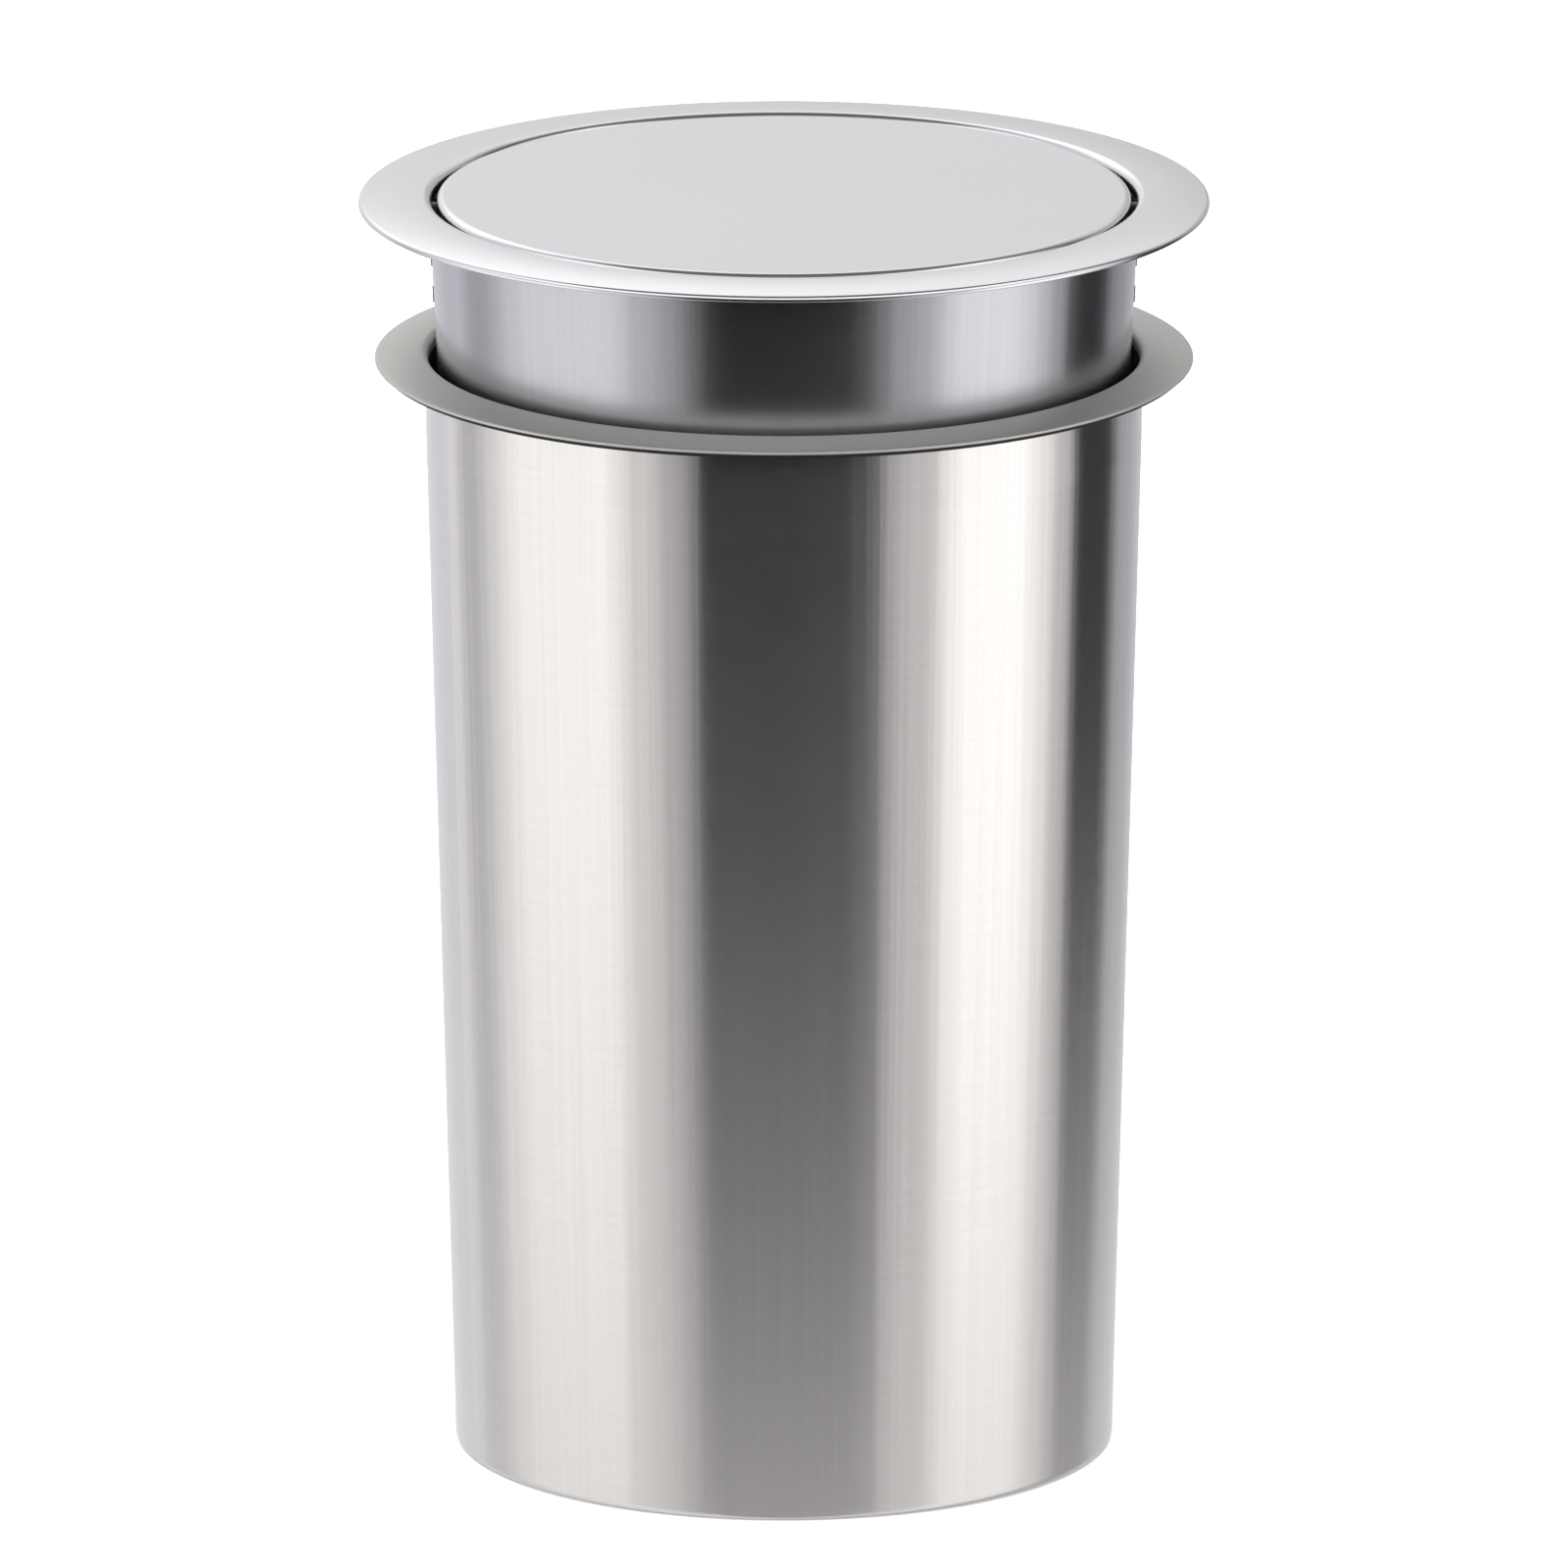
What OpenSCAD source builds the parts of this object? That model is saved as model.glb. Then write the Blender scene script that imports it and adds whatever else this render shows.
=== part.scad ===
// Countertop waste bin: a tapered steel drum that hangs by its rim in a worktop, and a lift-off lid unit
// whose round flap swings on two stub pins and is brought back level by a counterweight.
// Z is up, the front is -Y, and the origin is the centre of the drum's foot.

/* [Drum] */
// Height of the drum, from its foot to the top of its rim
drum_h = 317; // [240:1:420]
// Inside radius of the drum's mouth, which the lid unit, the flap and the foot follow
mouth_r = 100.5; // [84:0.5:140]
// Taper of the drum's wall, in degrees a side
drum_draft = 1.5; // [0:0.1:2.5]
// Sheet thickness of the drum's wall, its base and the collar
wall_t = 0.6; // [0.5:0.1:1]
// Height of the straight neck that passes through the worktop
neck_l = 20; // [10:1:50]
// Outer bend radius at the drum's foot
foot_roll = 2; // [1.5:0.1:4]
// Width of the ledge that is turned in under the base
foot_ledge = 8; // [5:0.5:14]
// Height of the raised centre of the base
base_rise = 5; // [3:0.5:12]

/* [Rim] */
// Width of the rim's flange, outwards from the mouth
rim_w = 14.7; // [12:0.1:30]
// Sheet thickness of the rim
rim_t = 0.9; // [0.7:0.1:1.2]
// Outer bend radius between the rim's flange and the mouth
rim_roll = 2; // [1.6:0.1:3]
// Radius of the flange's crown, seen in section
rim_crown = 56; // [40:1:400]
// Depth of the gasket's flat underside, below the top of the rim
rim_seat = 3.6; // [3.6:0.1:8]
// Distance from the mouth to the gasket's inner edge, which leaves room for the worktop's edge
gasket_in = 5.5; // [5:0.5:7]

/* [Lid unit] */
// How far the lid unit is lifted off its seat
lid_raise = 42; // [0:1:45]
// Width of the cover ring, outwards from the throat
ring_w = 20.5; // [12:0.5:40]
// Sheet thickness of the cover ring
ring_t = 0.8; // [0.6:0.1:1]
// Bend radius of the cover ring's inner edge
ring_roll = 2.2; // [1.2:0.1:2.6]
// Bend radius of the cover ring's outer edge
ring_edge = 1.1; // [1:0.1:2]
// Radius of the cover ring's crown, seen in section
ring_crown = 155; // [120:1:600]
// Depth of the lid gasket's flat underside, below the top of the cover ring
lid_seat = 3.2; // [3.2:0.1:6]
// Depth of the collar, below the top of the cover ring
collar_h = 60; // [46:1:120]
// Taper of the collar, in degrees a side
collar_draft = 3; // [1.5:0.1:4]
// Height of the doubled hem at the collar's lower edge
hem_h = 6; // [3:0.5:12]

/* [Flap] */
// Gap all round between the flap and the cover ring
flap_gap = 1.5; // [1:0.1:3]
// Sheet thickness of the flap
flap_t = 0.8; // [0.6:0.1:1]
// Bend radius of the flap's edge
flap_roll = 2; // [1.2:0.1:2]
// Depth of the flap's skirt
skirt_h = 6; // [4.5:0.1:6.5]
// Half width of the notch in the skirt that strikes the pivot block as a stop
notch_w = 14; // [13:0.5:20]
// Thickness of the moulded liner bonded under the flap
liner_t = 1.2; // [1:0.1:1.2]
// Radii of the liner's two ribs
liner_ribs = [46, 66];
// Width and depth of a liner rib
rib_s = 1.4; // [1:0.1:1.6]

/* [Pivots] */
// Depth of the pivot axis, below the top of the flap
axis_drop = 8; // [8:0.1:8.5]
// Radius of the stub pins
pin_r = 2.5; // [2:0.1:2.5]
// Radius of the pivot block's round ends
block_r = 5.5; // [5:0.1:5.5]
// Length of the pivot block between its round ends
block_l = 21; // [16:1:28]
// Thickness of the pivot block at the axis
block_t = 2.6; // [2.2:0.1:4]
// Thickness of the washer between pivot block and bush
washer_t = 1; // [0.5:0.1:2]
// Thickness of the retaining clip
clip_t = 0.8; // [0.6:0.1:1.2]
// Radius of the retaining clip
clip_r = 4.1; // [3.6:0.1:4.2]
// Sheet thickness of the hinge ears
ear_t = 1.2; // [1:0.1:1.3]
// Width of a hinge ear
ear_w = 14; // [12:0.5:18]
// Length of the ear's flange under the liner
ear_l = 19; // [16:1:30]
// Outer radius of the nylon bush where it passes through the ear
bush_r = 4; // [3.5:0.1:4]
// Radius and thickness of the bush's flange
bush_flange = [5.2, 1];
// How far the bush stands out on the inner side of the ear
bush_tail = 1; // [0.5:0.1:2]

/* [Counterweight] */
// Length of the counterweight bar
weight_l = 60; // [46:1:90]
// Width of the counterweight bar
weight_w = 20; // [16:1:26]
// Height of the counterweight bar
weight_h = 12; // [8:1:16]
// Distance from the pivot axis to the underside of the bar
weight_drop = 34; // [30:1:45]
// Width of the hanger strap
strap_w = 40; // [30:1:44]
// Thickness of the hanger strap
strap_t = 1.5; // [1.2:0.1:1.5]
// Length of the hanger's two fixing flanges
strap_foot = 15; // [12:1:22]

/* [Fasteners] */
// Shank radius of the rivets
rivet_r = 1.6; // [1.4:0.1:1.8]
// Radius and height of a rivet's domed head
rivet_head = [2.9, 1];
// Radius and height of a rivet's set tail on the outside of the collar
rivet_tail = [2.4, 0.3];
// Shank radius of the counterweight's screws
screw_r = 2.5; // [2:0.1:3]
// Distance between the counterweight's two screws
screw_pitch = 24; // [18:1:28]

/* [Fits] */
// Gap between the collar and the mouth at the top, with the lid unit down
collar_fit = 0.4; // [0.3:0.05:1]
// Radial clearance of the bush and the washer on the pin
run_fit = 0.05; // [0.02:0.01:0.1]
// Side play between parts that turn against each other
side_gap = 0.3; // [0.2:0.05:0.5]
// Clearance between loosely fitted sheet parts
loose_fit = 0.2; // [0.1:0.05:0.5]

/* [Hidden] */
$fn = 96;

// Heights
rim_z = drum_h;
lid_z = rim_z + lid_seat + lid_raise;
axis_z = lid_z - axis_drop;
spigot_h = 3.4;
neck_top = rim_z - spigot_h;
neck_low = neck_top - neck_l;
collar_top = lid_z - 4;
collar_low = lid_z - collar_h;
liner_top = lid_z - flap_t;
liner_low = liner_top - liner_t;
bar_low = axis_z - weight_drop;

// Radii
neck_r = mouth_r + wall_t;
foot_r = neck_r - neck_low * tan(drum_draft);
rim_r = mouth_r + rim_w;
throat_r = mouth_r - collar_fit - wall_t;
ring_r = throat_r + ring_w;
flap_r = throat_r - flap_gap;
collar_w = wall_t / cos(collar_draft);
function throat_at(z) = throat_r - (collar_top - z) * tan(collar_draft);

// Places along X, all for the right-hand pivot
block_x = throat_at(axis_z) - block_t;
washer_x = block_x - washer_t;
bush_x = washer_x - side_gap;
ear_x = bush_x - bush_flange[1];
clip_x = ear_x - ear_t - bush_tail - side_gap;
pin_x = clip_x - clip_t - 1.2;
block_rivet_z = [axis_z - block_l / 2, axis_z - block_l];
ear_rivet_x = [ear_x - ear_l + 5, ear_x - ear_l + 12];

// Arc of radius r about c, from angle a0 to a1
function arc(c, r, a0, a1, n = 6) =
    [for (i = [0 : n]) let (a = a0 + (a1 - a0) * i / n) c + r * [cos(a), sin(a)]];

// The other face of a bent sheet: path p moved t to the right of its own direction
function unit(v) = v / norm(v);
function right(d) = [d.y, -d.x];
function offset_point(p, i, t) = let (
        last = len(p) - 1,
        before = right(unit(p[max(i, 1)] - p[max(i, 1) - 1])),
        after = right(unit(p[min(i, last - 1) + 1] - p[min(i, last - 1)]))
    ) p[i] + t * (before + after) / (1 + before * after);
function other_face(p, t) = [for (i = [0 : len(p) - 1]) offset_point(p, i, t)];
function reversed(p) = [for (i = [len(p) - 1 : -1 : 0]) p[i]];
function sheet(p, t) = concat(p, reversed(other_face(p, t)));
function under(p, t, z) = let (q = other_face(p, t)) concat(q, [[q[len(q) - 1].x, z], [q[0].x, z]]);

// Visible faces of the two flanges, in section
rim_c = [mouth_r + rim_roll, rim_z - rim_crown];
rim_end = acos((rim_w - rim_roll) / rim_crown);
rim_path = concat(
    [[mouth_r, neck_top]],
    arc([rim_c.x, rim_z - rim_roll], rim_roll, 180, 90),
    arc(rim_c, rim_crown, 90 - (90 - rim_end) / 5, rim_end, 4)
);

ring_c = [throat_r + ring_roll, lid_z - ring_crown];
ring_end = acos((ring_w - ring_roll - ring_edge) / (ring_crown - ring_edge));
edge_c = ring_c + (ring_crown - ring_edge) * [cos(ring_end), sin(ring_end)];
ring_path = concat(
    [[throat_r, collar_top]],
    arc([ring_c.x, lid_z - ring_roll], ring_roll, 180, 90),
    arc(ring_c, ring_crown, 90 - (90 - ring_end) / 5, ring_end, 4),
    arc(edge_c, ring_edge, ring_end - ring_end / 6, 0, 5),
    [[ring_r, edge_c.y - 0.3]]
);

module steel() { color([0.80, 0.81, 0.82]) children(); }
module plated() { color([0.70, 0.71, 0.72]) children(); }
module rubber() { color([0.07, 0.07, 0.08]) children(); }

// Places what it holds with its Z axis along +X (side 1) or -X (side -1), on the pivot axis
module on_axis(side, x) {
    translate([side * x, 0, axis_z]) rotate([0, side * 90, 0]) children();
}

// The passage inside the collar and cover ring, as a solid, grown sideways by g
module throat(g = 0) {
    rotate_extrude($fn = 720) polygon([
        [0, collar_low - 10],
        [throat_at(collar_low - 10) + g, collar_low - 10],
        [throat_r + g, collar_top],
        [throat_r + g, lid_z],
        [0, lid_z]
    ]);
}

module drum_wall() {
    mid = foot_r + foot_roll * tan(drum_draft) - foot_roll / cos(drum_draft);
    path = concat(
        [[foot_r - foot_roll - foot_ledge, 0]],
        arc([mid, foot_roll], foot_roll, -90, -drum_draft),
        [[neck_r, neck_low], [neck_r, neck_top]]
    );
    steel() rotate_extrude() polygon(sheet(path, -wall_t));
}

module base_pan() {
    ledge_r = foot_r - foot_roll - foot_ledge;
    path = [
        [0, base_rise],
        [ledge_r - base_rise - 1, base_rise],
        [ledge_r - 0.5, wall_t],
        [foot_r - foot_roll - 0.8, wall_t]
    ];
    steel() rotate_extrude() polygon(sheet(path, -wall_t));
}

module rim_flange() {
    steel() rotate_extrude() polygon(sheet(rim_path, rim_t));
}

module rim_gasket() {
    inner = mouth_r + gasket_in;
    rubber() rotate_extrude() intersection() {
        polygon(under(rim_path, rim_t, rim_z - rim_seat));
        translate([inner, rim_z - rim_seat]) square([rim_r - 1.4 - inner, rim_seat]);
    }
}

module cover_ring() {
    steel() rotate_extrude() polygon(sheet(ring_path, ring_t));
}

module lid_gasket() {
    inner = throat_r + ring_t + 1;
    rubber() rotate_extrude() intersection() {
        polygon(under(ring_path, ring_t, lid_z - lid_seat));
        translate([inner, lid_z - lid_seat]) square([ring_r - 3 - inner, lid_seat]);
    }
}

module collar() {
    low = throat_at(collar_low);
    hem_top = collar_low + hem_h;
    steel() difference() {
        rotate_extrude() polygon([
            [throat_r, collar_top],
            [throat_r + collar_w, collar_top],
            [low + collar_w, collar_low],
            [low - collar_w, collar_low],
            [throat_at(hem_top) - collar_w, hem_top],
            [throat_at(hem_top), hem_top]
        ]);
        for (side = [-1, 1], z = block_rivet_z)
            translate([0, 0, z - axis_z]) on_axis(side, block_x) cylinder(r = rivet_r, h = 20);
    }
}

// Wedge that takes up the collar's taper, so that the pin lies level
module pivot_block(side) {
    plated() difference() {
        intersection() {
            on_axis(side, block_x) linear_extrude(20) {
                circle(block_r);
                translate([side > 0 ? 0 : -block_l, -block_r]) square([block_l, 2 * block_r]);
                translate([side * block_l, 0]) circle(block_r);
            }
            throat();
        }
        on_axis(side, block_x - 1) cylinder(r = pin_r, h = 20);
        for (z = block_rivet_z)
            translate([0, 0, z - axis_z]) on_axis(side, block_x - 1) cylinder(r = rivet_r, h = 20);
    }
}

// Domed head, its flat face on z = 0
module rivet_dome() {
    rise = rivet_head[1];
    ball = (pow(rivet_head[0], 2) + rise * rise) / (2 * rise);
    edge = asin((ball - rise) / ball);
    rotate_extrude() polygon(concat([[0, 0]], arc([0, rise - ball], ball, edge, 90, 4)));
}

module block_rivets() {
    plated() for (side = [-1, 1], z = block_rivet_z) translate([0, 0, z - axis_z]) {
        on_axis(side, block_x) rotate([180, 0, 0]) rivet_dome();
        intersection() {
            on_axis(side, block_x) cylinder(r = rivet_r, h = 20);
            translate([0, 0, axis_z - z]) throat(collar_w);
        }
        intersection() {
            on_axis(side, block_x) cylinder(r = rivet_tail[0], h = 20);
            translate([0, 0, axis_z - z]) difference() {
                throat(collar_w + rivet_tail[1]);
                throat(collar_w);
            }
        }
    }
}

module pivot_pin(side) {
    steel() intersection() {
        on_axis(side, pin_x) difference() {
            cylinder(r = pin_r, h = 20);
            translate([0, 0, clip_x - clip_t - pin_x]) difference() {
                cylinder(r = pin_r + 1, h = clip_t);
                cylinder(r = pin_r - 0.5, h = clip_t);
            }
        }
        throat();
    }
}

module pin_washer(side) {
    steel() on_axis(side, washer_x) difference() {
        cylinder(r = pin_r + 2, h = washer_t);
        translate([0, 0, -1]) cylinder(r = pin_r + run_fit, h = washer_t + 2);
    }
}

module pin_clip(side) {
    slot = pin_r * 1.3;
    plated() on_axis(side, clip_x - clip_t) difference() {
        cylinder(r = clip_r, h = clip_t);
        translate([0, 0, -1]) cylinder(r = pin_r - 0.5, h = clip_t + 2);
        translate([side > 0 ? 0 : -clip_r - 1, -slot / 2, -1]) cube([clip_r + 1, slot, clip_t + 2]);
    }
}

module flap_skin() {
    path = concat(
        [[0, lid_z]],
        arc([flap_r - flap_roll, lid_z - flap_roll], flap_roll, 90, 0),
        [[flap_r, lid_z - skirt_h]]
    );
    steel() difference() {
        rotate_extrude() polygon(sheet(path, flap_t));
        for (side = [-1, 1]) {
            translate([side * flap_r - 5, -notch_w, lid_z - skirt_h - 1])
                cube([10, 2 * notch_w, skirt_h + 1 - flap_roll]);
        }
    }
}

module flap_liner() {
    color([0.20, 0.21, 0.22]) difference() {
        union() {
            translate([0, 0, liner_low]) cylinder(r = flap_r - flap_roll - 0.1, h = liner_t);
            for (r = liner_ribs) translate([0, 0, liner_low - rib_s]) difference() {
                cylinder(r = r + rib_s / 2, h = rib_s + liner_t / 2);
                translate([0, 0, -1]) cylinder(r = r - rib_s / 2, h = rib_s + liner_t);
            }
        }
        rivet_places() translate([0, 0, -1]) cylinder(r = rivet_r, h = liner_t + 2);
    }
}

module ear_rivet_places() {
    for (side = [-1, 1], x = ear_rivet_x) translate([side * x, 0, liner_low]) children();
}

module hanger_rivet_places() {
    y = weight_w / 2 + loose_fit + strap_foot - 5;
    for (sx = [-1, 1], sy = [-1, 1])
        translate([sx * (strap_w / 2 - 7), sy * y, liner_low]) children();
}

module rivet_places() {
    ear_rivet_places() children();
    hanger_rivet_places() children();
}

// Rivet set flush in the liner's upper face, with its head below a sheet of thickness t
module flush_rivet(t) {
    translate([0, 0, -t]) cylinder(r = rivet_r, h = t + liner_t);
    translate([0, 0, -t]) rotate([180, 0, 0]) rivet_dome();
}

module hinge_ear(side) {
    bend = 2.2;
    path = concat(
        [[ear_x - ear_l, liner_low]],
        arc([ear_x - bend, liner_low - bend], bend, 90, 0),
        [[ear_x, axis_z - ear_w / 2]]
    );
    mirror([side > 0 ? 0 : 1, 0, 0]) plated() difference() {
        intersection() {
            translate([0, ear_w / 2, 0]) rotate([90, 0, 0]) linear_extrude(ear_w) polygon(sheet(path, ear_t));
            on_axis(1, ear_x - ear_l - 1) linear_extrude(ear_l + 2) {
                circle(ear_w / 2);
                translate([-ear_w, -ear_w / 2]) square([ear_w, ear_w]);
            }
        }
        on_axis(1, ear_x - ear_t - 1) cylinder(r = bush_r, h = ear_t + 2);
        for (x = ear_rivet_x) translate([x, 0, liner_low - ear_t - 1]) cylinder(r = rivet_r, h = ear_t + 2);
    }
}

module ear_rivets() {
    plated() ear_rivet_places() flush_rivet(ear_t);
}

module pivot_bush(side) {
    color([0.90, 0.89, 0.85]) on_axis(side, ear_x) difference() {
        union() {
            cylinder(r = bush_flange[0], h = bush_flange[1]);
            translate([0, 0, -ear_t - bush_tail]) cylinder(r = bush_r, h = ear_t + bush_tail);
        }
        translate([0, 0, -ear_t - bush_tail - 1])
            cylinder(r = pin_r + run_fit, h = ear_t + bush_tail + bush_flange[1] + 2);
    }
}

// Strap bent to a hat shape: two feet under the liner and a trough that carries the bar
module weight_hanger() {
    half = weight_w / 2 + loose_fit;
    bend = 1.5;
    outer = bend + strap_t;
    side_path = concat(
        [[-half - strap_foot, liner_low]],
        arc([-half - outer, liner_low - outer], outer, 90, 0, 4),
        arc([-half + bend, bar_low + bend], bend, 180, 270, 4)
    );
    path = concat(side_path, [for (p = reversed(side_path)) [-p.x, p.y]]);
    plated() difference() {
        rotate([90, 0, 90]) translate([0, 0, -strap_w / 2]) linear_extrude(strap_w) polygon(sheet(path, strap_t));
        hanger_rivet_places() translate([0, 0, -strap_t - 1]) cylinder(r = rivet_r, h = strap_t + 2);
        screw_places() translate([0, 0, -strap_t - 1]) cylinder(r = screw_r + loose_fit, h = strap_t + 2);
    }
}

module hanger_rivets() {
    plated() hanger_rivet_places() flush_rivet(strap_t);
}

module screw_places() {
    for (s = [-1, 1]) translate([s * screw_pitch / 2, 0, bar_low]) children();
}

module counterweight() {
    c = 2;
    w = weight_w / 2;
    color([0.33, 0.34, 0.35]) difference() {
        translate([0, 0, bar_low]) rotate([90, 0, 90]) translate([0, 0, -weight_l / 2])
            linear_extrude(weight_l) polygon([
                [-w + c, 0], [w - c, 0], [w, c], [w, weight_h - c],
                [w - c, weight_h], [-w + c, weight_h], [-w, weight_h - c], [-w, c]
            ]);
        screw_places() translate([0, 0, -1]) cylinder(r = screw_r + loose_fit, h = weight_h + 2);
    }
}

washer_h = screw_r * 0.4;
nut_h = screw_r * 1.6;
hex_r = screw_r * 1.85;

module weight_screws() {
    plated() screw_places() {
        translate([0, 0, -strap_t - nut_h * 0.9]) linear_extrude(nut_h * 0.9) circle(hex_r, $fn = 6);
        translate([0, 0, -strap_t])
            cylinder(r = screw_r, h = strap_t + weight_h + washer_h + nut_h + 1.5);
    }
}

module weight_washers() {
    plated() screw_places() translate([0, 0, weight_h]) difference() {
        cylinder(r = screw_r * 2, h = washer_h);
        translate([0, 0, -1]) cylinder(r = screw_r + loose_fit, h = washer_h + 2);
    }
}

module weight_nuts() {
    plated() screw_places() translate([0, 0, weight_h + washer_h]) difference() {
        linear_extrude(nut_h) circle(hex_r, $fn = 6);
        translate([0, 0, -1]) cylinder(r = screw_r, h = nut_h + 2);
    }
}

drum_wall();
base_pan();
rim_flange();
rim_gasket();
cover_ring();
collar();
lid_gasket();
pivot_block(-1);  // pivot_block_left
pivot_block(1);  // pivot_block_right
block_rivets();
pivot_pin(-1);  // pivot_pin_left
pivot_pin(1);  // pivot_pin_right
pin_washer(-1);  // pin_washer_left
pin_washer(1);  // pin_washer_right
pin_clip(-1);  // pin_clip_left
pin_clip(1);  // pin_clip_right
flap_skin();
flap_liner();
hinge_ear(-1);  // hinge_ear_left
hinge_ear(1);  // hinge_ear_right
ear_rivets();
pivot_bush(-1);  // pivot_bush_left
pivot_bush(1);  // pivot_bush_right
weight_hanger();
hanger_rivets();
counterweight();
weight_screws();
weight_washers();
weight_nuts();
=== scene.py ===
import math
import bmesh
import bpy
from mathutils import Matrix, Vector


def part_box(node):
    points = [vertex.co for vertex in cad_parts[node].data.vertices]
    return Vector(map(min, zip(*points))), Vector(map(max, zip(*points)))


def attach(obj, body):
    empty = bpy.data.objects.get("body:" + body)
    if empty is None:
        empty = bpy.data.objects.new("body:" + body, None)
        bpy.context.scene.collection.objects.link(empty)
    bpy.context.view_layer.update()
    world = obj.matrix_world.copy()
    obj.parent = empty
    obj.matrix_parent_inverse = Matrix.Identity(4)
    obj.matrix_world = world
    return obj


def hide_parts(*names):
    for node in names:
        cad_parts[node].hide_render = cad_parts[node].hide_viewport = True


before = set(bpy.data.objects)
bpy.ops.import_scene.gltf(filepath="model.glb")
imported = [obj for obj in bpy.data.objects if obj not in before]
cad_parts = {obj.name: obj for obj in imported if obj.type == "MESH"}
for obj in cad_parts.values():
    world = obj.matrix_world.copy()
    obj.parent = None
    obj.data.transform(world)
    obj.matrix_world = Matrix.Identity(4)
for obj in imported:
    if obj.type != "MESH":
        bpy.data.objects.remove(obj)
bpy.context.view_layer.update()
mm = 0.001
print("frame loaded:", len(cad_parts), "nodes")


def linear(hexColour):
    # sRGB hex to linear RGBA
    parts = [int(hexColour[i:i + 2], 16) / 255 for i in (1, 3, 5)]
    return [c / 12.92 if c <= 0.04045 else ((c + 0.055) / 1.055) ** 2.4 for c in parts] + [1.0]


def addNode(tree, kind, inputs=None, **settings):
    # one node with its settings; an input given as an output socket is linked
    node = tree.nodes.new(kind)
    for name, value in settings.items():
        setattr(node, name, value)
    for key, value in (inputs or {}).items():
        if isinstance(value, bpy.types.NodeSocket):
            tree.links.new(value, node.inputs[key])
        else:
            node.inputs[key].default_value = value
    return node


# the camera comes first: a long lens from the front, looking a little down
cameraSet = {"targetHeight": 0.1904, "distance": 8.575, "elevation": 14.47, "lens": 695.0, "sensor": 36,
             "clip": (0.1, 60)}


def makeCamera(s):
    data = bpy.data.cameras.new("camera")
    cam = bpy.data.objects.new("camera", data)
    bpy.context.collection.objects.link(cam)
    tilt = math.radians(s["elevation"])
    back = Vector((0, -math.cos(tilt), math.sin(tilt)))
    cam.location = Vector((0, 0, s["targetHeight"])) + back * s["distance"]
    cam.rotation_euler = (-back).to_track_quat("-Z", "Y").to_euler()
    data.lens = s["lens"]
    data.sensor_width = s["sensor"]
    data.clip_start, data.clip_end = s["clip"]
    bpy.context.scene.camera = cam


makeCamera(cameraSet)
print("camera placed")


# sheet outlines are (radius, height) points in section, in millimetres
def arcPoints(centre, radius, start, end, steps):
    # points of an arc, angles in degrees
    turn = [math.radians(start + (end - start) * i / steps) for i in range(steps + 1)]
    return [(centre[0] + radius * math.cos(a), centre[1] + radius * math.sin(a)) for a in turn]


def unit(a, b):
    d = Vector((b[0] - a[0], b[1] - a[1]))
    return d / d.length


def otherFace(path, thick):
    # the same bend seen from the other side of the sheet, to the right of the path's direction
    out = []
    for i, p in enumerate(path):
        before = unit(path[max(i, 1) - 1], path[max(i, 1)])
        after = unit(path[min(i, len(path) - 2)], path[min(i, len(path) - 2) + 1])
        a = Vector((before.y, -before.x))
        b = Vector((after.y, -after.x))
        shift = (a + b) * thick / (1 + a.dot(b))
        out.append((p[0] + shift.x, p[1] + shift.y))
    return out


def roundEnd(p, q, outward, steps=6):
    # the deburred edge of the sheet, a half circle from p to q
    centre = (Vector(p) + Vector(q)) / 2
    side = Vector(p) - centre
    turn = [math.pi * i / steps for i in range(1, steps)]
    ends = [centre + side * math.cos(a) + outward * side.length * math.sin(a) for a in turn]
    return [(e.x, e.y) for e in ends]


# extra points this far from the ends of long straight runs keep the shading flat there
holdRun = 0.25


def heldPath(path, hold=holdRun):
    out = [path[0]]
    for a, b in zip(path, path[1:]):
        d = Vector((b[0] - a[0], b[1] - a[1]))
        if d.length > 4 * hold:
            step = d * hold / d.length
            out += [(a[0] + step.x, a[1] + step.y), (b[0] - step.x, b[1] - step.y)]
        out.append(b)
    return out


def sheetOutline(path, thick, hold=holdRun):
    # closed section of a bent sheet; a path that starts on the axis stays open there
    path = heldPath(path, hold)
    back = otherFace(path, thick)
    outline = path + roundEnd(path[-1], back[-1], unit(path[-2], path[-1])) + back[::-1]
    if path[0][0] < 1e-6:
        return outline
    return outline + roundEnd(back[0], path[0], unit(path[1], path[0])) + [path[0]]


def newGroup(name, sockets):
    tree = bpy.data.node_groups.new(name, "GeometryNodeTree")
    tree.interface.new_socket("Geometry", in_out="OUTPUT", socket_type="NodeSocketGeometry")
    tree.interface.new_socket("Geometry", in_out="INPUT", socket_type="NodeSocketGeometry")
    for label, kind in sockets:
        tree.interface.new_socket(label, in_out="INPUT", socket_type=kind)
    return tree, addNode(tree, "NodeGroupInput"), addNode(tree, "NodeGroupOutput")


def calc(tree, operation, a, b=0.0, c=0.0):
    return addNode(tree, "ShaderNodeMath", {0: a, 1: b, 2: c}, operation=operation).outputs[0]


def fade(tree, value, start, end):
    # 0 at the start value and 1 at the end value
    return addNode(tree, "ShaderNodeMapRange", {
        "Value": value, "From Min": start, "From Max": end}).outputs[0]


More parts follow.
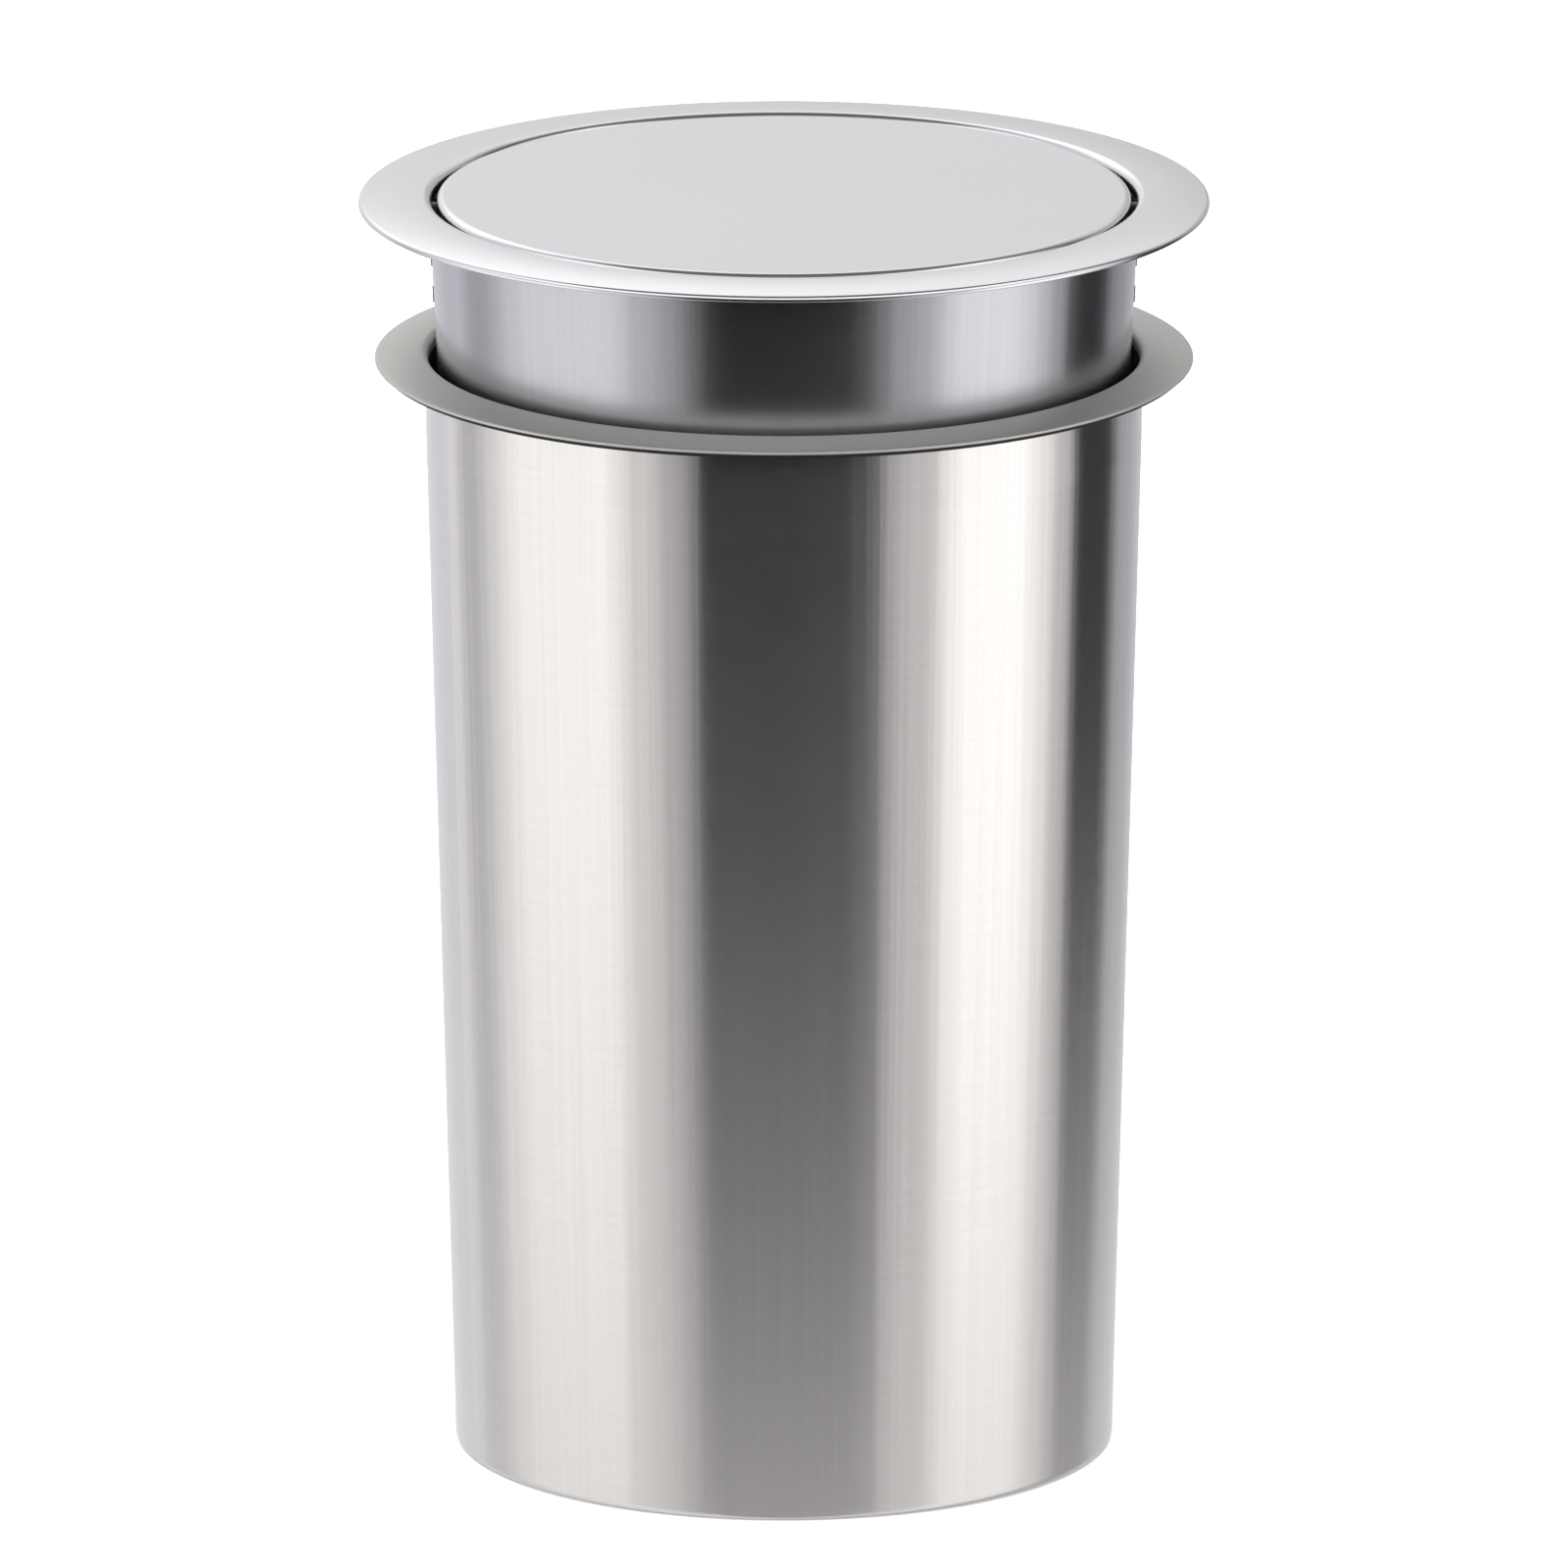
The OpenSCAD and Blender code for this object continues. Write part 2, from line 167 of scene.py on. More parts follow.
def buildRevolveTree():
    # turns an outline into a sheet with its own UV map: the outline's points are sampled along one side
    # of a grid, and the other side is turned round Z
    tree, given, result = newGroup("revolveSheet", [
        ("Outline points", "NodeSocketInt"), ("Segments", "NodeSocketInt"),
        ("Brush radius", "NodeSocketFloat"), ("Straight brushing", "NodeSocketBool"),
        ("Material", "NodeSocketMaterial")])
    rows = calc(tree, "SUBTRACT", given.outputs["Outline points"], 1.0)
    grid = addNode(tree, "GeometryNodeMeshGrid", {
        "Size X": rows, "Size Y": given.outputs["Segments"], "Vertices X": given.outputs["Outline points"],
        "Vertices Y": calc(tree, "ADD", given.outputs["Segments"], 1.0)})
    place = addNode(tree, "ShaderNodeSeparateXYZ", {0: addNode(tree, "GeometryNodeInputPosition").outputs[0]})
    row = calc(tree, "ROUND", calc(tree, "ADD", place.outputs[0], calc(tree, "DIVIDE", rows, 2.0)))
    step = calc(tree, "ADD", place.outputs[1], calc(tree, "DIVIDE", given.outputs["Segments"], 2.0))
    angle = calc(tree, "MULTIPLY", calc(tree, "DIVIDE", step, given.outputs["Segments"]), 2 * math.pi)
    # the join of the map lies at the back
    turned = calc(tree, "ADD", angle, math.pi / 2)
    point = addNode(tree, "GeometryNodeSampleIndex", {
        "Geometry": given.outputs[0], "Value": addNode(tree, "GeometryNodeInputPosition").outputs[0],
        "Index": row}, data_type="FLOAT_VECTOR")
    run = addNode(tree, "GeometryNodeInputNamedAttribute", {"Name": "run"}, data_type="FLOAT")
    along = addNode(tree, "GeometryNodeSampleIndex", {
        "Geometry": given.outputs[0], "Value": run.outputs[0], "Index": row}, data_type="FLOAT")
    section = addNode(tree, "ShaderNodeSeparateXYZ", {0: point.outputs[0]})
    x = calc(tree, "MULTIPLY", section.outputs[0], calc(tree, "COSINE", turned))
    y = calc(tree, "MULTIPLY", section.outputs[0], calc(tree, "SINE", turned))
    final = addNode(tree, "ShaderNodeCombineXYZ", {0: x, 1: y, 2: section.outputs[2]})
    around = calc(tree, "MULTIPLY", angle, given.outputs["Brush radius"])
    roundMap = addNode(tree, "ShaderNodeCombineXYZ", {0: along.outputs[0], 1: around})
    flatMap = addNode(tree, "ShaderNodeCombineXYZ", {0: y, 1: x})
    choice = addNode(tree, "GeometryNodeSwitch", {
        "Switch": given.outputs["Straight brushing"], "False": roundMap.outputs[0],
        "True": flatMap.outputs[0]}, input_type="VECTOR")
    mapped = addNode(tree, "GeometryNodeStoreNamedAttribute", {
        "Geometry": grid.outputs[0], "Name": "brushMap", "Value": choice.outputs[0]},
        data_type="FLOAT2", domain="CORNER")
    moved = addNode(tree, "GeometryNodeSetPosition", {
        "Geometry": mapped.outputs[0], "Position": final.outputs[0]})
    closed = addNode(tree, "GeometryNodeMergeByDistance", {"Geometry": moved.outputs[0], "Distance": 1e-6})
    smooth = addNode(tree, "GeometryNodeSetShadeSmooth", {"Geometry": closed.outputs[0]})
    real = addNode(tree, "GeometryNodeRealizeInstances", {"Geometry": smooth.outputs[0]})
    painted = addNode(tree, "GeometryNodeSetMaterial", {
        "Geometry": real.outputs[0], "Material": given.outputs["Material"]})
    tree.links.new(painted.outputs[0], result.inputs[0])
    return tree


def buildMarksTree():
    # copies of one small mark, set facing outwards round a ring
    tree, given, result = newGroup("ringOfMarks", [
        ("Count", "NodeSocketInt"), ("Radius", "NodeSocketFloat"), ("Height", "NodeSocketFloat"),
        ("Tilt", "NodeSocketFloat"), ("Seed", "NodeSocketInt"), ("Material", "NodeSocketMaterial")])
    ring = addNode(tree, "GeometryNodeMeshCircle", {
        "Vertices": given.outputs["Count"], "Radius": given.outputs["Radius"]})
    place = addNode(tree, "GeometryNodeInputPosition").outputs[0]
    part = addNode(tree, "ShaderNodeSeparateXYZ", {0: place})
    turn = calc(tree, "ARCTAN2", part.outputs[1], part.outputs[0])
    angles = addNode(tree, "ShaderNodeCombineXYZ", {1: given.outputs["Tilt"], 2: turn})
    size = addNode(tree, "FunctionNodeRandomValue", {2: 0.85, 3: 1.1, "Seed": given.outputs["Seed"]},
                   data_type="FLOAT")
    copies = addNode(tree, "GeometryNodeInstanceOnPoints", {
        "Points": ring.outputs[0], "Instance": given.outputs[0], "Rotation": angles.outputs[0],
        "Scale": size.outputs[1]})
    lift = addNode(tree, "ShaderNodeCombineXYZ", {2: given.outputs["Height"]})
    raised = addNode(tree, "GeometryNodeTransform", {
        "Geometry": copies.outputs[0], "Translation": lift.outputs[0]})
    real = addNode(tree, "GeometryNodeRealizeInstances", {"Geometry": raised.outputs[0]})
    smooth = addNode(tree, "GeometryNodeSetShadeSmooth", {"Geometry": real.outputs[0]})
    painted = addNode(tree, "GeometryNodeSetMaterial", {
        "Geometry": smooth.outputs[0], "Material": given.outputs["Material"]})
    tree.links.new(painted.outputs[0], result.inputs[0])
    return tree


def finishedMesh(holder, name):
    # the evaluated result as a plain mesh, faces outwards
    graph = bpy.context.evaluated_depsgraph_get()
    mesh = bpy.data.meshes.new_from_object(holder.evaluated_get(graph), depsgraph=graph)
    mesh.name = name
    shape = bmesh.new()
    shape.from_mesh(mesh)
    bmesh.ops.recalc_face_normals(shape, faces=shape.faces)
    shape.to_mesh(mesh)
    shape.free()
    piece = bpy.data.objects.new(name, mesh)
    bpy.context.collection.objects.link(piece)
    bpy.data.objects.remove(holder)
    return piece


def runTree(holder, tree, values, name):
    # values are set by the sockets' identifiers before the object is first evaluated
    modifier = holder.modifiers.new("nodes", "NODES")
    modifier.node_group = tree
    for item in tree.interface.items_tree:
        if item.in_out == "INPUT" and item.name in values:
            modifier[item.identifier] = values[item.name]
    return finishedMesh(holder, name)


def meshObject(name, points, edges):
    mesh = bpy.data.meshes.new(name)
    mesh.from_pydata(points, edges, [])
    holder = bpy.data.objects.new(name, mesh)
    bpy.context.collection.objects.link(holder)
    return holder


def revolve(name, outline, material, segments=256, straight=False):
    points = [(r * mm, 0, z * mm) for r, z in outline]
    holder = meshObject(name + ".outline", points, [(i, i + 1) for i in range(len(points) - 1)])
    run = holder.data.attributes.new("run", "FLOAT", "POINT")
    total = 0.0
    for i, p in enumerate(points):
        if i:
            total += (Vector(p) - Vector(points[i - 1])).length
        run.data[i].value = total
    widest = max(p[0] for p in points)
    return runTree(holder, revolveTree, {
        "Outline points": len(points), "Segments": segments, "Brush radius": widest,
        "Straight brushing": straight, "Material": material}, name)


def settle(piece, body, slotName, *nodes):
    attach(piece, body)
    if nodes:
        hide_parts(*nodes)


revolveTree = buildRevolveTree()
marksTree = buildMarksTree()
print("node trees built")


def newMaterial(name, settings):
    mat = bpy.data.materials.new(name)
    mat.use_nodes = True
    shader = mat.node_tree.nodes["Principled BSDF"]
    for key, value in settings.items():
        shader.inputs[key].default_value = value
    return mat, mat.node_tree, shader


def spread(tree, source, low, high):
    # a 0 to 1 pattern spread between two values
    return addNode(tree, "ShaderNodeMapRange", {"Value": source, "To Min": low, "To Max": high}).outputs[0]


# brushed stainless: cold-rolled sheet brushed with a belt, so the light is drawn out across the strokes
# and stays sharp along them; strokes run round the round parts and straight over the flap
steelSet = {
    # drum: medium belt, bright
    "brushedSteel": {"light": "#DBD8D6", "dark": "#C2BFBE", "roughness": (0.15, 0.20), "anisotropy": 0.95,
                     "strokeWidth": 0.35, "strokeLength": 28.0, "depth": 0.006, "wave": 0.12, "seam": 3.0},
    # flap and cover ring: fine belt, a calmer satin
    "satinSteel": {"light": "#CDCED0", "dark": "#C4C5C7", "roughness": (0.16, 0.21), "anisotropy": 0.4,
                   "strokeWidth": 0.25, "strokeLength": 20.0, "depth": 0.003, "wave": 0.0, "seam": 0.0},
    # collar: a bluish tone and softer strokes; its colour is painted darker, painted shade from the cover
    # ring's flange above it
    "collarSteelPaintedShade": {"light": "#B6B7BA", "dark": "#A4A5A9", "roughness": (0.20, 0.25), "anisotropy": 0.7,
                    "strokeWidth": 0.35, "strokeLength": 24.0, "depth": 0.005, "wave": 0.08, "seam": 2.5},
    # rim: the dullest belt, a flat grey
    "rimSteel": {"light": "#C8C8C5", "dark": "#BCBCB9", "roughness": (0.54, 0.64), "anisotropy": 0.1,
                 "strokeWidth": 0.3, "strokeLength": 16.0, "depth": 0.006, "wave": 0.0, "seam": 0.0},
}


# what all of it shares, lengths in mm as (up the sheet, round it)
sheetGrain = {"cloudScale": 14.0, "cloudShare": 0.35, "streak": (260.0, 1.6), "streakShare": 0.12,
              "swell": (400.0, 9.0), "strokeBump": 0.35, "seamRoughness": 0.16, "seamCore": 0.6}


def stretchedNoise(tree, place, lengths, **inputs):
    scale = (1 / (lengths[0] * mm), 1 / (lengths[1] * mm), 1)
    stretched = addNode(tree, "ShaderNodeMapping", {"Vector": place, "Scale": scale})
    inputs.update({"Vector": stretched.outputs[0], "Scale": 1.0})
    return addNode(tree, "ShaderNodeTexNoise", inputs).outputs[0]


def makeSteel(name, s, g):
    mat, tree, shader = newMaterial(name, {"Metallic": 1.0, "Anisotropic": s["anisotropy"]})
    uv = addNode(tree, "ShaderNodeUVMap", uv_map="brushMap").outputs[0]
    where = addNode(tree, "ShaderNodeTexCoord").outputs["Object"]
    # the strokes are finer than this on the real sheet, and are drawn this coarse so that they show
    strokes = stretchedNoise(tree, uv, (s["strokeWidth"], s["strokeLength"]), Detail=3.0, Roughness=0.6)
    cloudy = addNode(tree, "ShaderNodeTexNoise", {"Vector": where, "Scale": g["cloudScale"], "Detail": 2.0})
    # rolled sheet bent round keeps faint streaks and swells that run up and down the wall
    streaks = stretchedNoise(tree, uv, g["streak"], Detail=2.0)
    swells = stretchedNoise(tree, uv, g["swell"], Detail=1.0)
    tone = addNode(tree, "ShaderNodeMix", {
        "Factor": 0.5 if s["wave"] else 0.0, "A": strokes, "B": streaks}, data_type="FLOAT")
    colour = addNode(tree, "ShaderNodeMix", {
        "Factor": tone.outputs[0], "A": linear(s["dark"]), "B": linear(s["light"])}, data_type="RGBA")
    both = addNode(tree, "ShaderNodeMix", {
        "Factor": g["cloudShare"], "A": strokes, "B": cloudy.outputs[0]}, data_type="FLOAT")
    rough = spread(tree, both.outputs[0], *s["roughness"])
    if s["seam"]:
        # the weld at the back is ground flush and left a little rougher
        side = addNode(tree, "ShaderNodeSeparateXYZ", {0: where})
        off = calc(tree, "ABSOLUTE", side.outputs[0])
        line = calc(tree, "MULTIPLY", fade(tree, off, s["seam"] * mm, s["seam"] * g["seamCore"] * mm),
                    calc(tree, "GREATER_THAN", side.outputs[1], 0.0))
        rough = calc(tree, "MULTIPLY_ADD", line, g["seamRoughness"], rough)
    wavy = addNode(tree, "ShaderNodeBump", {
        "Height": calc(tree, "MULTIPLY_ADD", streaks, g["streakShare"], swells), "Strength": 1.0,
        "Distance": s["wave"] * mm})
    bump = addNode(tree, "ShaderNodeBump", {
        "Height": strokes, "Strength": g["strokeBump"], "Distance": s["depth"] * mm,
        "Normal": wavy.outputs[0]})
    tree.links.new(colour.outputs["Result"], shader.inputs["Base Color"])
    tree.links.new(rough, shader.inputs["Roughness"])
    tree.links.new(bump.outputs[0], shader.inputs["Normal"])
    along = addNode(tree, "ShaderNodeTangent", direction_type="UV_MAP", uv_map="brushMap")
    tree.links.new(along.outputs[0], shader.inputs["Tangent"])
    return mat


# the small parts, with the grain's size and depth in mm
plainSet = {
    # bright zinc plate with a blue passivate: clean grey with a faint cloudy bloom
    "zincPlate": {"metallic": 1.0, "colours": ("#A9ADB3", "#C3C6CB"), "roughness": (0.26, 0.42),
                  "grain": 3.0, "depth": 0.01},
    # the same plate with a black passivate, for the blocks that show in the gap
    "blackZincPlate": {"metallic": 0.8, "colours": ("#1C1D1F", "#2A2B2E"), "roughness": (0.34, 0.5),
                       "grain": 2.0, "depth": 0.01},
    # turned stainless bar: finer and darker than the sheet
    "turnedStainless": {"metallic": 1.0, "colours": ("#B4B4B6", "#C8C8CA"), "roughness": (0.18, 0.28),
                        "grain": 0.6, "depth": 0.004},
    # hot-rolled bar with black oxide: near black, slightly pitted scale
    "blackOxideBar": {"metallic": 0.7, "colours": ("#26272A", "#3B3C40"), "roughness": (0.42, 0.62),
                      "grain": 1.2, "depth": 0.05},
    # extruded EPDM rubber: dull black with a faint bloom
    "blackRubber": {"metallic": 0.0, "colours": ("#0E0E0F", "#1B1B1C"), "roughness": (0.6, 0.8),
                    "grain": 0.9, "depth": 0.02},
    # moulded polypropylene: dark grey, eroded texture from the mould
    "polypropylene": {"metallic": 0.0, "colours": ("#232427", "#2C2D31"), "roughness": (0.42, 0.56),
                      "grain": 0.45, "depth": 0.02},
    # natural nylon: off-white and a little waxy
    "naturalNylon": {"metallic": 0.0, "colours": ("#E2DDCF", "#EDE9DD"), "roughness": (0.32, 0.44),
                     "grain": 1.5, "depth": 0.004},
}


# the scale of the broad patches and the strength of the grain's bump, for all of them
broadScale = 60.0
grainBump = 0.5


def makePlain(name, s):
    mat, tree, shader = newMaterial(name, {"Metallic": s["metallic"]})
    where = addNode(tree, "ShaderNodeTexCoord").outputs["Object"]
    fine = addNode(tree, "ShaderNodeTexNoise", {
        "Vector": where, "Scale": 1 / (s["grain"] * mm), "Detail": 4.0})
    broad = addNode(tree, "ShaderNodeTexNoise", {"Vector": where, "Scale": broadScale, "Detail": 2.0})
    blend = addNode(tree, "ShaderNodeMix", {
        "Factor": 0.5, "A": fine.outputs[0], "B": broad.outputs[0]}, data_type="FLOAT").outputs[0]
    low, high = (linear(c) for c in s["colours"])
    colour = addNode(tree, "ShaderNodeMix", {"Factor": blend, "A": low, "B": high}, data_type="RGBA")
    bump = addNode(tree, "ShaderNodeBump", {
        "Height": fine.outputs[0], "Strength": grainBump, "Distance": s["depth"] * mm})
    tree.links.new(colour.outputs["Result"], shader.inputs["Base Color"])
    tree.links.new(spread(tree, blend, *s["roughness"]), shader.inputs["Roughness"])
    tree.links.new(bump.outputs[0], shader.inputs["Normal"])
    return mat


steel = {name: makeSteel(name, s, sheetGrain) for name, s in steelSet.items()}
plain = {name: makePlain(name, s) for name, s in plainSet.items()}
print("materials made:", len(steel) + len(plain))


# heights and radii of the CAD nodes, in millimetres
def top(node):
    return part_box(node)[1].z / mm


def bottom(node):
    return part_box(node)[0].z / mm


def radius(node):
    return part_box(node)[1].x / mm


# the drum: a tapered wall with a straight neck, turned in at the foot under a dished base
drumSet = {"sheet": 0.6, "draft": 1.5, "neck": 20.0, "footRoll": 2.0, "ledge": 8.0, "rise": 5.0,
           "slopeTopIn": 1.0, "slopeFootIn": 0.5, "baseEdgeIn": 0.8}


def makeDrum(s):
    neckR = radius("drum_wall")
    neckTop = top("drum_wall")
    neckLow = neckTop - s["neck"]
    draft = math.radians(s["draft"])
    footR = neckR - neckLow * math.tan(draft)
    mid = footR + s["footRoll"] * (math.tan(draft) - 1 / math.cos(draft))
    ledgeR = footR - s["footRoll"] - s["ledge"]
    path = [(ledgeR, 0.0)]
    path += arcPoints((mid, s["footRoll"]), s["footRoll"], -90, -s["draft"], steps=8)
    path += [(neckR, neckLow), (neckR, neckTop)]
    settle(revolve("drumShell", sheetOutline(path, -s["sheet"]), steel["brushedSteel"]), "drum",
           "brushed_stainless", "drum_wall")
    base = [(0.0, s["rise"]), (ledgeR - s["rise"] - s["slopeTopIn"], s["rise"]),
            (ledgeR - s["slopeFootIn"], s["sheet"]), (footR - s["footRoll"] - s["baseEdgeIn"], s["sheet"])]
    settle(revolve("drumBase", sheetOutline(base, -s["sheet"]), steel["brushedSteel"], segments=128), "drum",
           "brushed_stainless", "base_pan")


makeDrum(drumSet)

# the rim: a pressed ring with a low crown and a rolled inner edge
rimSet = {"sheet": 0.9, "roll": 2.0, "crown": 56.0, "hold": 0.5}


def makeRim(s):
    mouthR = radius("drum_wall") - drumSet["sheet"]
    rimTop = top("rim_flange")
    rimR = radius("rim_flange")
    crownR = mouthR + s["roll"]
    end = math.degrees(math.acos((rimR - crownR) / s["crown"]))
    path = [(mouthR, top("drum_wall"))]
    path += arcPoints((crownR, rimTop - s["roll"]), s["roll"], 180, 90, steps=10)
    path += arcPoints((crownR, rimTop - s["crown"]), s["crown"], 90, end, steps=12)[1:]
    settle(revolve("rimRing", sheetOutline(path, s["sheet"], s["hold"]), steel["rimSteel"]), "drum",
           "brushed_stainless", "rim_flange")


makeRim(rimSet)
print("drum made")


# the collar: a tapered sleeve with its lower edge folded in and welded to itself
collarSet = {"sheet": 0.6, "draft": 3.0, "hem": 6.0, "hemRound": 0.9, "hemEnd": 0.5}


def levelWidth(s):
    # the sloping sheet measured level
    return s["sheet"] / math.cos(math.radians(s["draft"]))


def makeCollar(s):
    high = top("collar")
    low = bottom("collar")
    wide = levelWidth(s)
    throatR = radius("collar") - wide
    shrink = math.tan(math.radians(s["draft"]))

    def inside(z):
        return throatR - (high - z) * shrink

    hemTop = low + s["hem"]
    roundTop = low + s["hemRound"]
    hemShoulder = hemTop - s["hemEnd"]
    outline = [(throatR, high), (throatR + wide, high), (inside(roundTop) + wide, roundTop)]
    outline += arcPoints((inside(low + wide), low + wide), wide, 0, -180, steps=8)
    outline += [(inside(hemShoulder) - wide, hemShoulder), (inside(hemTop) - wide / 2, hemTop)]
    outline += [(inside(hemTop), hemTop), (throatR, high)]
    # the collar's steel carries painted shade: its colour is darker for the shade under the cover ring
    settle(revolve("collarSleeve", heldPath(outline), steel["collarSteelPaintedShade"]), "lid",
           "brushed_stainless", "collar")


# the cover ring: pressed with a low crown, a rolled inner edge and a turned-down outer edge
coverSet = {"sheet": 0.8, "roll": 2.2, "edge": 1.1, "crown": 155.0, "spigot": 4.0, "lip": 0.3}


def makeCover(s):
    lidTop = top("cover_ring")
    ringR = radius("cover_ring")
    throatR = radius("collar") - levelWidth(collarSet)
    crownR = throatR + s["roll"]
    crownZ = lidTop - s["crown"]
    inner = s["crown"] - s["edge"]
    end = math.degrees(math.acos((ringR - s["edge"] - crownR) / inner))
    edge = (crownR + inner * math.cos(math.radians(end)), crownZ + inner * math.sin(math.radians(end)))
    path = [(throatR, lidTop - s["spigot"])]
    path += arcPoints((crownR, lidTop - s["roll"]), s["roll"], 180, 90, steps=12)
    path += arcPoints((crownR, crownZ), s["crown"], 90, end, steps=10)[1:]
    path += arcPoints(edge, s["edge"], end, 0, steps=10)[1:]
    path += [(ringR, edge[1] - s["lip"])]
    settle(revolve("coverRing", sheetOutline(path, s["sheet"]), steel["satinSteel"]), "lid",
           "brushed_stainless", "cover_ring")


# spot welds: shallow round dents with a raised lip, pressed by the electrodes
weldSet = {
    "collarWelds": {"body": "lid", "count": 20, "size": 2.0, "proud": 0.12, "tilt": collarSet["draft"],
                    "seed": 4},
    "baseWelds": {"body": "drum", "count": 16, "size": 2.4, "proud": 0.15, "tilt": -90.0, "seed": 4,
                  "fromEdge": 4.5},
}


def makeWelds(name, s, ringR, height):
    # section of one mark, turned about X: lip first, then the dent
    profile = [(0.0, 0.25), (0.45, 0.3), (0.72, 0.7), (0.84, 1.0), (0.93, 0.75), (1.0, -0.4)]
    steps = 24
    size = s["size"] * mm
    proud = s["proud"] * mm
    points = [(profile[0][1] * proud, 0, 0)]
    faces = []
    for i, (out, rise) in enumerate(profile[1:]):
        for j in range(steps):
            a = 2 * math.pi * j / steps
            points.append((rise * proud, out * size * math.cos(a), out * size * math.sin(a)))
            k = 1 + i * steps + j
            n = 1 + i * steps + (j + 1) % steps
            faces.append((0, k, n) if i == 0 else (k - steps, k, n, n - steps))
    faces.append([1 + (len(profile) - 2) * steps + j for j in range(steps)][::-1])
    mesh = bpy.data.meshes.new(name)
    mesh.from_pydata(points, [], faces)
    holder = bpy.data.objects.new(name, mesh)
    bpy.context.collection.objects.link(holder)
    piece = runTree(holder, marksTree, {
        "Count": s["count"], "Radius": ringR * mm, "Height": height * mm, "Tilt": math.radians(s["tilt"]),
        "Seed": s["seed"], "Material": plain["turnedStainless"]}, name)
    settle(piece, s["body"], "brushed_stainless")


makeCover(coverSet)
makeCollar(collarSet)
hemMiddle = bottom("collar") + collarSet["hem"] / 2
hemR = radius("collar") - (top("collar") - hemMiddle) * math.tan(math.radians(collarSet["draft"]))
makeWelds("collarWelds", weldSet["collarWelds"], hemR, hemMiddle)
baseR = radius("base_pan") - weldSet["baseWelds"]["fromEdge"]
makeWelds("baseWelds", weldSet["baseWelds"], baseR, 2 * drumSet["sheet"])
print("lid unit made")


# the flap: a pressed disc whose skirt is cut away round the pivots
flapSet = {"sheet": 0.8, "roll": 2.0, "notchHalf": 14.0, "notchReach": 10.0, "notchPast": 1.0}


def makeFlap(s):
    flapR = radius("flap_skin")
    flapTop = top("flap_skin")
    low = bottom("flap_skin")
    path = [(0.0, flapTop)]
    path += arcPoints((flapR - s["roll"], flapTop - s["roll"]), s["roll"], 90, 0, steps=10)
    path += [(flapR, low)]
    disc = revolve("flapDisc", sheetOutline(path, s["sheet"]), steel["satinSteel"], straight=True)
    notchLow = low - s["notchPast"]
    notchHigh = flapTop - s["roll"]
    shape = bmesh.new()
    for side in (-1, 1):
        made = bmesh.ops.create_cube(shape, size=1.0)["verts"]
        for v in made:
            v.co.x = (side * flapR + v.co.x * s["notchReach"]) * mm
            v.co.y *= 2 * s["notchHalf"] * mm
            v.co.z = (notchLow + (v.co.z + 0.5) * (notchHigh - notchLow)) * mm
    cutMesh = bpy.data.meshes.new("notchCutter")
    shape.to_mesh(cutMesh)
    shape.free()
    cutter = bpy.data.objects.new("notchCutter", cutMesh)
    bpy.context.collection.objects.link(cutter)
    cut = disc.modifiers.new("notches", "BOOLEAN")
    cut.object = cutter
    cut.operation = "DIFFERENCE"
    cut.solver = "EXACT"
    disc = finishedMesh(disc, "flapPlate")
    bpy.data.objects.remove(cutter)
    settle(disc, "flap", "brushed_stainless", "flap_skin")


makeFlap(flapSet)
print("flap made")


# CAD nodes that keep their shape
finishes = {
    "blackRubber": ["rim_gasket", "lid_gasket"],
    "blackZincPlate": ["pivot_block_left", "pivot_block_right"],
    "zincPlate": ["block_rivets", "pin_clip_left", "pin_clip_right",
                  "hinge_ear_left", "hinge_ear_right", "ear_rivets", "weight_hanger", "hanger_rivets",
                  "weight_screws", "weight_washers", "weight_nuts"],
    "turnedStainless": ["pivot_pin_left", "pivot_pin_right", "pin_washer_left", "pin_washer_right"],
    "blackOxideBar": ["counterweight"],
    "polypropylene": ["flap_liner"],
    "naturalNylon": ["pivot_bush_left", "pivot_bush_right"],
}
for finish, nodes in finishes.items():
    for node in nodes:
        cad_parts[node].data.materials.clear()
        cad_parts[node].data.materials.append(plain[finish])
print("CAD nodes finished:", sum(len(nodes) for nodes in finishes.values()))


# the studio, as levels of light by direction; the camera itself sees plain white
studioSet = {
    # the room at the horizon and below, in degrees from the front, positive to the right
    "around": [(-180, 0.50), (-142, 0.54), (-137, 0.66), (-127, 0.43), (-120, 0.41), (-106, 0.70),
               (-94, 0.90), (-60, 0.95), (-51, 0.64), (-43, 0.53), (-35, 0.34), (-31, 0.23), (-27, 0.06),
               (-24, 0.0), (0, 0.0), (22, 0.015), (30, 0.11), (34, 0.29), (38, 0.43), (48, 0.52),
               (55, 0.83), (61, 1.05), (84, 1.07), (95, 0.72), (101, 0.53), (106, 0.38), (111, 0.03),
               (131, 0.03), (138, 0.28), (180, 0.45)],
    # the wall behind, by the sine of the height angle: a soft box stands above a grey wall
    "behind": [(0.0, 0.52), (0.2, 0.545), (0.255, 0.61), (0.30, 0.72), (0.35, 0.85), (0.42, 0.96),
               (0.72, 0.96), (0.78, 0.12), (1.0, 0.12)],
    # the wall in front, with a soft box high up
    "front": [(0.0, 0.0), (0.08, 0.22), (0.2, 0.36), (0.32, 0.45), (0.40, 1.2), (0.78, 1.2), (0.84, 0.12),
              (1.0, 0.12)],
    # where the two walls take over: limits of the direction's Y part and of its Z part
    "behindFrom": ((0.35, 0.75), (-0.03, 0.05)),
    "frontFrom": ((0.1, -0.3), (0.0, 0.1)),
    # the wall behind is brighter on the left than on the right, over this much of the X part
    "slope": (1.22, 0.70),
    "slopeOver": 0.14,
    # the far side of the room is a little cooler, beyond this angle from the front
    "cool": (1.0, 0.99, 1.05),
    "coolFrom": 110,
    # it grows dark overhead
    "overheadFrom": (0.8, 0.88),
    "overhead": (0.12, 0.12, 0.12, 1),
    "gain": 1.62,
}


